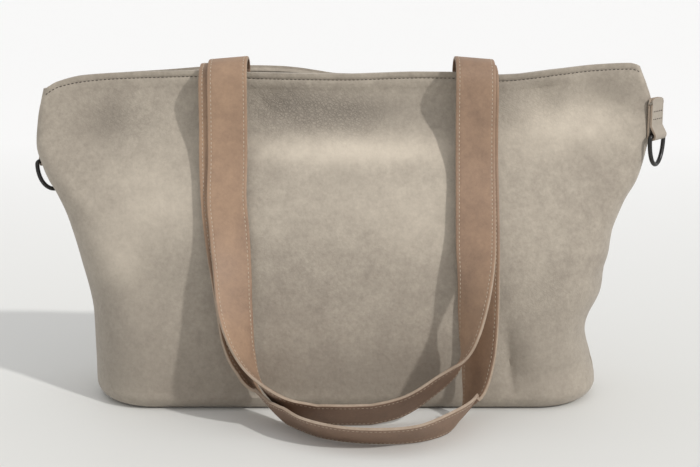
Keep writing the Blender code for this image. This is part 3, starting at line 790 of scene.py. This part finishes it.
def math_node(tree, operation, first, second):
    return new_node(tree, "ShaderNodeMath", {0: first, 1: second}, operation=operation).outputs[0]


# %% The Clouds group
def build_clouds():
    group, given, result = new_group("Clouds", {"Size": 9.0, "Patchiness": 0.5}, ["Shade"])
    place = object_place(group)
    slow = new_node(group, "ShaderNodeTexNoise",
                    {"Vector": place, "Scale": given.outputs["Size"], "Detail": 3.0,
                     "Roughness": 0.6, "Distortion": 0.4}).outputs["Fac"]
    quick_size = math_node(group, "MULTIPLY", given.outputs["Size"], 6.5)
    quick = new_node(group, "ShaderNodeTexNoise",
                     {"Vector": place, "Scale": quick_size, "Detail": 5.0,
                      "Roughness": 0.7}).outputs["Fac"]
    both = new_node(group, "ShaderNodeMix",
                    {"Factor": given.outputs["Patchiness"], "A": slow, "B": quick},
                    data_type="FLOAT").outputs["Result"]
    spread = new_node(group, "ShaderNodeMapRange",
                      {"Value": both, "From Min": 0.32, "From Max": 0.68}).outputs["Result"]
    group.links.new(spread, result.inputs["Shade"])
    return group


# %% The Grain group
def build_grain():
    group, given, result = new_group("Grain", {"Size": 700.0, "Nap": 2200.0}, ["Height", "Speck"])
    place = object_place(group)
    cells = new_node(group, "ShaderNodeTexVoronoi",
                     {"Vector": place, "Scale": given.outputs["Size"], "Randomness": 1.0},
                     feature="SMOOTH_F1").outputs["Distance"]
    nap = new_node(group, "ShaderNodeTexNoise",
                   {"Vector": place, "Scale": given.outputs["Nap"], "Detail": 2.0,
                    "Roughness": 0.7}).outputs["Fac"]
    height = new_node(group, "ShaderNodeMix", {"Factor": 0.45, "A": cells, "B": nap},
                      data_type="FLOAT").outputs["Result"]
    blotch_size = math_node(group, "MULTIPLY", given.outputs["Size"], 0.62)
    blotch = new_node(group, "ShaderNodeTexNoise",
                      {"Vector": place, "Scale": blotch_size, "Detail": 4.0,
                       "Roughness": 0.75}).outputs["Fac"]
    speck = new_node(group, "ShaderNodeMapRange",
                     {"Value": blotch, "From Min": 0.36, "From Max": 0.64}).outputs["Result"]
    group.links.new(height, result.inputs["Height"])
    group.links.new(speck, result.inputs["Speck"])
    return group


# %% The Creases group
def build_creases():
    group, given, result = new_group("Creases", {"Size": 360.0, "Reach": 1.0}, ["Height"])
    place = object_place(group)
    heights = []
    for lean, stretch in ((0.75, 3.4), (-0.60, 2.0)):
        turned = new_node(group, "ShaderNodeMapping",
                          {"Vector": place, "Rotation": (0.0, lean, 0.0),
                           "Scale": (stretch, 1.0, 1.0)}, vector_type="TEXTURE").outputs["Vector"]
        lines = new_node(group, "ShaderNodeTexVoronoi",
                         {"Vector": turned, "Scale": given.outputs["Size"]},
                         feature="DISTANCE_TO_EDGE").outputs["Distance"]
        groove = new_node(group, "ShaderNodeMapRange",
                          {"Value": lines, "From Min": 0.0, "From Max": 0.12},
                          interpolation_type="SMOOTHSTEP").outputs["Result"]
        heights.append(groove)
    both = math_node(group, "MULTIPLY", heights[0], heights[1])
    less = math_node(group, "SUBTRACT", both, 1.0)
    deep = math_node(group, "MULTIPLY", less, given.outputs["Reach"])
    group.links.new(deep, result.inputs["Height"])
    return group


CLOUDS, GRAIN, CREASES = build_clouds(), build_grain(), build_creases()
print("shader groups:", [g.name for g in (CLOUDS, GRAIN, CREASES)])

# %% [markdown]
# Where the leather has painted shade or painted light on this one bag, and where it is crazed,
# is stored on the mesh. Three numbers per point, one of painted shade, one of painted light and
# one of crazing, are made of soft blots from a table, and the material reads them. A blot has a
# place, a size and a strength.

# %% Blots of painted shade, painted light and crazing on the panels
BLOT_COLUMNS = ("kind", "side", "across", "up", "wide", "tall", "amount")
BLOTS = (
    ("Crazed", -1, -0.18, 0.89, 0.16, 0.070, 1.0),
    ("Crazed", -1, 0.02, 0.87, 0.14, 0.060, 0.8),
    ("Crazed", -1, -0.72, 0.86, 0.16, 0.080, 0.5),
    ("Crazed", -1, 0.60, 0.90, 0.20, 0.080, 0.4),
    ("Crazed", -1, -0.05, 0.45, 0.35, 0.160, 0.22),
    ("Crazed", -1, 0.66, 0.35, 0.16, 0.120, 0.28),
    ("Crazed", 1, 0.05, 0.88, 0.30, 0.080, 0.7),
    ("Crazed", 1, -0.40, 0.40, 0.30, 0.160, 0.4),
    # Painted shade: the rows below dim the dents and the hollow under the rim, the lower left and
    # the belly, where less light falls.
    ("PaintedShade", -1, 0.03, 0.885, 0.22, 0.050, 0.7),
    ("PaintedShade", -1, -0.19, 0.92, 0.12, 0.045, 0.5),
    ("PaintedShade", -1, -0.80, 0.83, 0.07, 0.045, 0.5),
    ("PaintedShade", -1, -0.75, 0.88, 0.05, 0.060, 0.4),
    ("PaintedShade", -1, 0.62, 0.91, 0.10, 0.040, 0.4),
    ("PaintedShade", -1, 0.84, 0.94, 0.09, 0.045, 0.5),
    ("PaintedShade", -1, 0.00, 0.70, 0.06, 0.060, 0.3),
    ("PaintedShade", -1, -0.72, 0.34, 0.26, 0.260, 0.45),
    ("PaintedShade", -1, -0.62, 0.10, 0.30, 0.120, 0.35),
    ("PaintedShade", -1, 0.10, 0.10, 0.50, 0.130, 0.45),
    ("PaintedShade", -1, 0.66, 0.16, 0.25, 0.200, 0.35),
    ("PaintedShade", 1, 0.30, 0.60, 0.30, 0.200, 0.4),
    # Painted light: the rows below lighten the ridge under the hollow, the upper right and other
    # places on both panels, where more light falls.
    ("PaintedLight", -1, 0.00, 0.775, 0.36, 0.040, 1.0),
    ("PaintedLight", -1, 0.70, 0.84, 0.20, 0.090, 0.7),
    ("PaintedLight", -1, 0.05, 0.62, 0.32, 0.120, 0.2),
    ("PaintedLight", -1, -0.60, 0.62, 0.22, 0.120, 0.5),
    ("PaintedLight", -1, -0.72, 0.45, 0.10, 0.080, 0.4),
    ("PaintedLight", -1, 0.30, 0.55, 0.20, 0.120, 0.4),
    ("PaintedLight", 1, 0.00, 0.75, 0.40, 0.050, 0.6),
)


def paint_blots(piece, side):
    """Stores the blots of one panel as three numbers per point."""
    count = len(piece.data.vertices)
    place = np.empty(count * 3, np.float32)
    piece.data.vertices.foreach_get("co", place)
    place = place.reshape(-1, 3)
    for kind in ("PaintedShade", "PaintedLight", "Crazed"):
        amount = np.zeros(count, np.float32)
        for row in BLOTS:
            blot = dict(zip(BLOT_COLUMNS, row))
            if blot["kind"] != kind or blot["side"] != side:
                continue
            far = ((place[:, 0] - blot["across"] * HALF_WIDTH) / (blot["wide"] * HALF_WIDTH)) ** 2
            far += ((place[:, 2] - blot["up"] * BAG_HEIGHT) / (blot["tall"] * BAG_HEIGHT)) ** 2
            amount += blot["amount"] * np.exp(-far)
        layer = piece.data.attributes.new(kind, "FLOAT", "POINT")
        layer.data.foreach_set("value", np.clip(amount, 0, 1))


# %% Leather materials
def stored_number(tree, name):
    return new_node(tree, "ShaderNodeAttribute", attribute_name=name).outputs["Fac"]


def mix_colour(tree, factor, first, second, blend="MIX"):
    node = new_node(tree, "ShaderNodeMix", {"Factor": factor}, data_type="RGBA",
                    blend_type=blend)
    for socket, value in ((node.inputs[6], first), (node.inputs[7], second)):
        if isinstance(value, bpy.types.NodeSocket):
            tree.links.new(value, socket)
        else:
            socket.default_value = value
    return node.outputs[2]


def grouped(tree, group, values):
    node = new_node(tree, "ShaderNodeGroup", node_tree=group)
    for label, value in values.items():
        node.inputs[label].default_value = value
    return node


def leather(name, dark, light, clouds=9.0, patchiness=0.4, grain=700.0, nap=2200.0,
            grain_depth=0.00012, roughness=0.8, sheen=0.0, mottle=0.06, painted_shade_light_and_crazing=False,
            crease_size=420.0, crease_depth=0.00028):
    """A leather finish: cloudy colour, pebbled grain and, when asked, painted shade and painted
    light from stored blots, crazing, and painted shade in the crazing's lines.
    """
    made = bpy.data.materials.new(name)
    made.use_nodes = True
    tree = made.node_tree
    skin = tree.nodes["Principled BSDF"]
    shade = grouped(tree, CLOUDS, {"Size": clouds, "Patchiness": patchiness}).outputs["Shade"]
    pebbles = grouped(tree, GRAIN, {"Size": grain, "Nap": nap})
    colour = mix_colour(tree, shade, (*dark, 1), (*light, 1))
    speck = new_node(tree, "ShaderNodeMapRange", {"Value": pebbles.outputs["Speck"],
                                                  "To Min": 1 - mottle, "To Max": 1 + mottle})
    colour = mix_colour(tree, 1.0, colour, speck.outputs["Result"], "MULTIPLY")
    height = math_node(tree, "MULTIPLY", pebbles.outputs["Height"], grain_depth)
    if painted_shade_light_and_crazing:
        # Painted shade and painted light: the stored blots dim and lighten the colour where shade
        # and light fall on this bag.
        painted_shade_colour = [c * 0.66 for c in dark]
        painted_light_colour = [min(1.0, c * 1.5) for c in light]
        breakup = new_node(tree, "ShaderNodeMapRange", {"Value": shade, "To Min": 0.45,
                                                        "To Max": 1.0}).outputs["Result"]
        painted_shade = math_node(tree, "MULTIPLY", stored_number(tree, "PaintedShade"), breakup)
        painted_light = math_node(tree, "MULTIPLY", stored_number(tree, "PaintedLight"), breakup)
        colour = mix_colour(tree, painted_shade, colour, (*painted_shade_colour, 1))
        colour = mix_colour(tree, painted_light, colour, (*painted_light_colour, 1))
        lines = grouped(tree, CREASES, {"Size": crease_size, "Reach": 1.0}).outputs["Height"]
        crazed = math_node(tree, "MULTIPLY", lines, stored_number(tree, "Crazed"))
        depth = math_node(tree, "MULTIPLY", crazed, crease_depth)
        height = math_node(tree, "ADD", height, depth)
        # Painted shade in the crazing: its grooves are dimmed in colour as well as bumped.
        crease_painted_shade = new_node(tree, "ShaderNodeMapRange", {"Value": crazed, "From Min": -1.0,
                         "From Max": 0.0, "To Min": 0.80, "To Max": 1.0}).outputs["Result"]
        colour = mix_colour(tree, 1.0, colour, crease_painted_shade, "MULTIPLY")
    bump = new_node(tree, "ShaderNodeBump", {"Height": height, "Strength": 1.0, "Distance": 1.0})
    rough = new_node(tree, "ShaderNodeMapRange", {"Value": shade, "To Min": roughness - 0.06,
                                                  "To Max": roughness + 0.06})
    tree.links.new(colour, skin.inputs["Base Color"])
    tree.links.new(rough.outputs["Result"], skin.inputs["Roughness"])
    tree.links.new(bump.outputs["Normal"], skin.inputs["Normal"])
    skin.inputs["Sheen Weight"].default_value = sheen
    skin.inputs["Sheen Roughness"].default_value = 0.5
    skin.inputs["Specular IOR Level"].default_value = 0.35
    return made


NUBUCK = leather("nubuck", (0.300, 0.258, 0.213), (0.455, 0.402, 0.332), clouds=13.0,
                 patchiness=0.45, grain=400.0, grain_depth=0.00034, roughness=0.88,
                 sheen=0.15, mottle=0.09, painted_shade_light_and_crazing=True)
TAB_NUBUCK = leather("tab_nubuck", (0.300, 0.262, 0.218), (0.400, 0.352, 0.292), clouds=60.0,
                     grain=500.0, roughness=0.85, sheen=0.1)
FLESH_SIDE = leather("flesh_side", (0.26, 0.21, 0.165), (0.34, 0.28, 0.22), clouds=20.0,
                     roughness=0.92, grain_depth=0.0002)
STRAP_LEATHER = leather("strap_leather", (0.225, 0.146, 0.101), (0.380, 0.250, 0.165),
                        clouds=16.0, patchiness=0.4, grain=650.0, grain_depth=0.00008,
                        roughness=0.55, mottle=0.05)
# Painted shade: the strap's other face is a dimmer copy of the strap leather.
STRAP_SHADED_BACK = leather("strap_back", (0.185, 0.118, 0.082), (0.275, 0.182, 0.128),
                     clouds=16.0, patchiness=0.4, grain=650.0, roughness=0.65, mottle=0.05)
CUT_EDGE = leather("cut_edge", (0.30, 0.225, 0.165), (0.42, 0.335, 0.26), clouds=60.0,
                   roughness=0.75, grain=1500.0)
print("leathers:", NUBUCK.name, FLESH_SIDE.name, STRAP_LEATHER.name, CUT_EDGE.name)

# %% Thread and metal
def thread(name, colour):
    made = bpy.data.materials.new(name)
    made.use_nodes = True
    tree = made.node_tree
    strand = tree.nodes["Principled BSDF"]
    twist = new_node(tree, "ShaderNodeTexNoise", {"Vector": object_place(tree), "Scale": 900.0,
                                                  "Detail": 1.0}).outputs["Fac"]
    shades = mix_colour(tree, twist, (*[c * 0.6 for c in colour], 1),
                        (*[min(1, c * 1.4) for c in colour], 1))
    tree.links.new(shades, strand.inputs["Base Color"])
    strand.inputs["Roughness"].default_value = 0.6
    return made


def plated_metal():
    made = bpy.data.materials.new("gunmetal_plating")
    made.use_nodes = True
    tree = made.node_tree
    metal = tree.nodes["Principled BSDF"]
    wear = grouped(tree, CLOUDS, {"Size": 90.0, "Patchiness": 0.6}).outputs["Shade"]
    colour = mix_colour(tree, wear, (0.030, 0.030, 0.032, 1), (0.075, 0.073, 0.070, 1))
    rough = new_node(tree, "ShaderNodeMapRange", {"Value": wear, "To Min": 0.28,
                                                  "To Max": 0.42}).outputs["Result"]
    tree.links.new(colour, metal.inputs["Base Color"])
    tree.links.new(rough, metal.inputs["Roughness"])
    metal.inputs["Metallic"].default_value = 1.0
    return made


HEM_THREAD = thread("hem_thread", (0.050, 0.040, 0.033))
STRAP_THREAD = thread("strap_thread", (0.46, 0.37, 0.28))
GUNMETAL = plated_metal()
print("threads and metal:", HEM_THREAD.name, STRAP_THREAD.name, GUNMETAL.name)

# %% [markdown]
# Each piece now gets its finish, its modifiers are applied and the imported part that it stands
# for is hidden. A piece rides on a body of the imported model, so that the rings swing and
# everything else stays with the bag. The inside of the hem is folded outer leather, so its faces
# go back to nubuck.

# %% Finish the pieces
def dress(piece, materials, body, node=None):
    for material in materials:
        piece.data.materials.append(material)
    if piece.modifiers:
        apply_all(piece)
    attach(piece, body)
    if node:
        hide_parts(node)


def hem_in_nubuck(piece, side):
    for face in piece.data.polygons:
        if face.material_index and face.center.z > rim_height(face.center.x, side) - HEM_HEIGHT:
            face.material_index = 0


for piece, node, side in ((front_leather, "front_panel", -1), (back_leather, "back_panel", 1)):
    dress(piece, (NUBUCK, FLESH_SIDE), "bag", node)
    paint_blots(piece, side)
    hem_in_nubuck(piece, side)
dress(base_leather, (NUBUCK, FLESH_SIDE), "bag", "base_panel")
dress(strap_front, (STRAP_LEATHER, CUT_EDGE, STRAP_SHADED_BACK), "bag", "handle_front")
dress(strap_back, (STRAP_LEATHER, CUT_EDGE, STRAP_SHADED_BACK), "bag", "handle_back")
dress(tab_left_leather, (TAB_NUBUCK, CUT_EDGE), "bag", "tab_left")
dress(tab_right_leather, (TAB_NUBUCK, CUT_EDGE), "bag", "tab_right")
dress(ring_left_wire, (GUNMETAL,), "ring_left", "ring_left")
dress(ring_right_wire, (GUNMETAL,), "ring_right", "ring_right")
for piece in (ring_left_wire, ring_right_wire):
    piece.data.shade_smooth()
for piece, material in ((front_hem_stitches, HEM_THREAD), (back_hem_stitches, HEM_THREAD),
                        (tab_left_stitches, HEM_THREAD), (tab_right_stitches, HEM_THREAD),
                        (strap_front_stitches, STRAP_THREAD),
                        (strap_back_stitches, STRAP_THREAD)):
    dress(piece, (material,), "bag")
print("front leather triangles:", sum(len(f.vertices) - 2 for f in front_leather.data.polygons))

# %% [markdown]
# The studio is a wide pale floor with painted light that makes it lighter towards the back, a key
# light from the front right and an even white sky.
# The camera stands about a metre away and looks eleven degrees down, as in the photograph.
# A sun lamp with a small angle keeps the straps' shadows parallel and a little soft.

# %% Floor, light and camera
def build_floor():
    bpy.ops.object.select_all(action="DESELECT")
    bpy.ops.mesh.primitive_plane_add(size=60)
    floor = bpy.context.object
    floor.name = "studio_floor"
    made = bpy.data.materials.new("pale_floor")
    made.use_nodes = True
    tree = made.node_tree
    place = new_node(tree, "ShaderNodeSeparateXYZ", {"Vector": object_place(tree)})
    # Painted light: the floor's colour grows lighter towards the back, for the brighter light far
    # behind the bag.
    far = new_node(tree, "ShaderNodeMapRange", {"Value": place.outputs["Y"], "From Min": 0.0,
                                                "From Max": 1.6}).outputs["Result"]
    colour = mix_colour(tree, far, (0.75, 0.75, 0.73, 1), (0.92, 0.92, 0.92, 1))
    shader = tree.nodes["Principled BSDF"]
    tree.links.new(colour, shader.inputs["Base Color"])
    shader.inputs["Roughness"].default_value = 0.6
    shader.inputs["Specular IOR Level"].default_value = 0.2
    floor.data.materials.append(made)
    return floor


def build_light(azimuth, elevation, strength, angle, sky):
    lamp = bpy.data.lights.new("key_light", "SUN")
    lamp.energy, lamp.angle, lamp.color = strength, math.radians(angle), (1.0, 0.985, 0.96)
    key = bpy.data.objects.new("key_light", lamp)
    bpy.context.scene.collection.objects.link(key)
    key.rotation_euler = (math.radians(90 - elevation), 0, math.radians(azimuth))
    world = bpy.data.worlds.new("studio_sky")
    bpy.context.scene.world = world
    world.use_nodes = True
    world.node_tree.nodes["Background"].inputs["Color"].default_value = (1.0, 1.0, 1.0, 1.0)
    world.node_tree.nodes["Background"].inputs["Strength"].default_value = sky


CAMERA_PLACE, CAMERA_DOWN, CAMERA_LENS = (0.004, -1.003, 0.325), 11.125, 66.03


def build_camera():
    lens = bpy.data.cameras.new("photo_camera")
    lens.lens, lens.sensor_width = CAMERA_LENS, 36.0
    camera = bpy.data.objects.new("photo_camera", lens)
    camera.location = CAMERA_PLACE
    camera.rotation_euler = (math.radians(90 - CAMERA_DOWN), 0, 0)
    bpy.context.scene.collection.objects.link(camera)
    bpy.context.scene.camera = camera


build_floor()
build_light(azimuth=49, elevation=36, strength=1.68, angle=2.5, sky=0.745)
build_camera()
bpy.context.scene.view_settings.view_transform = "Standard"
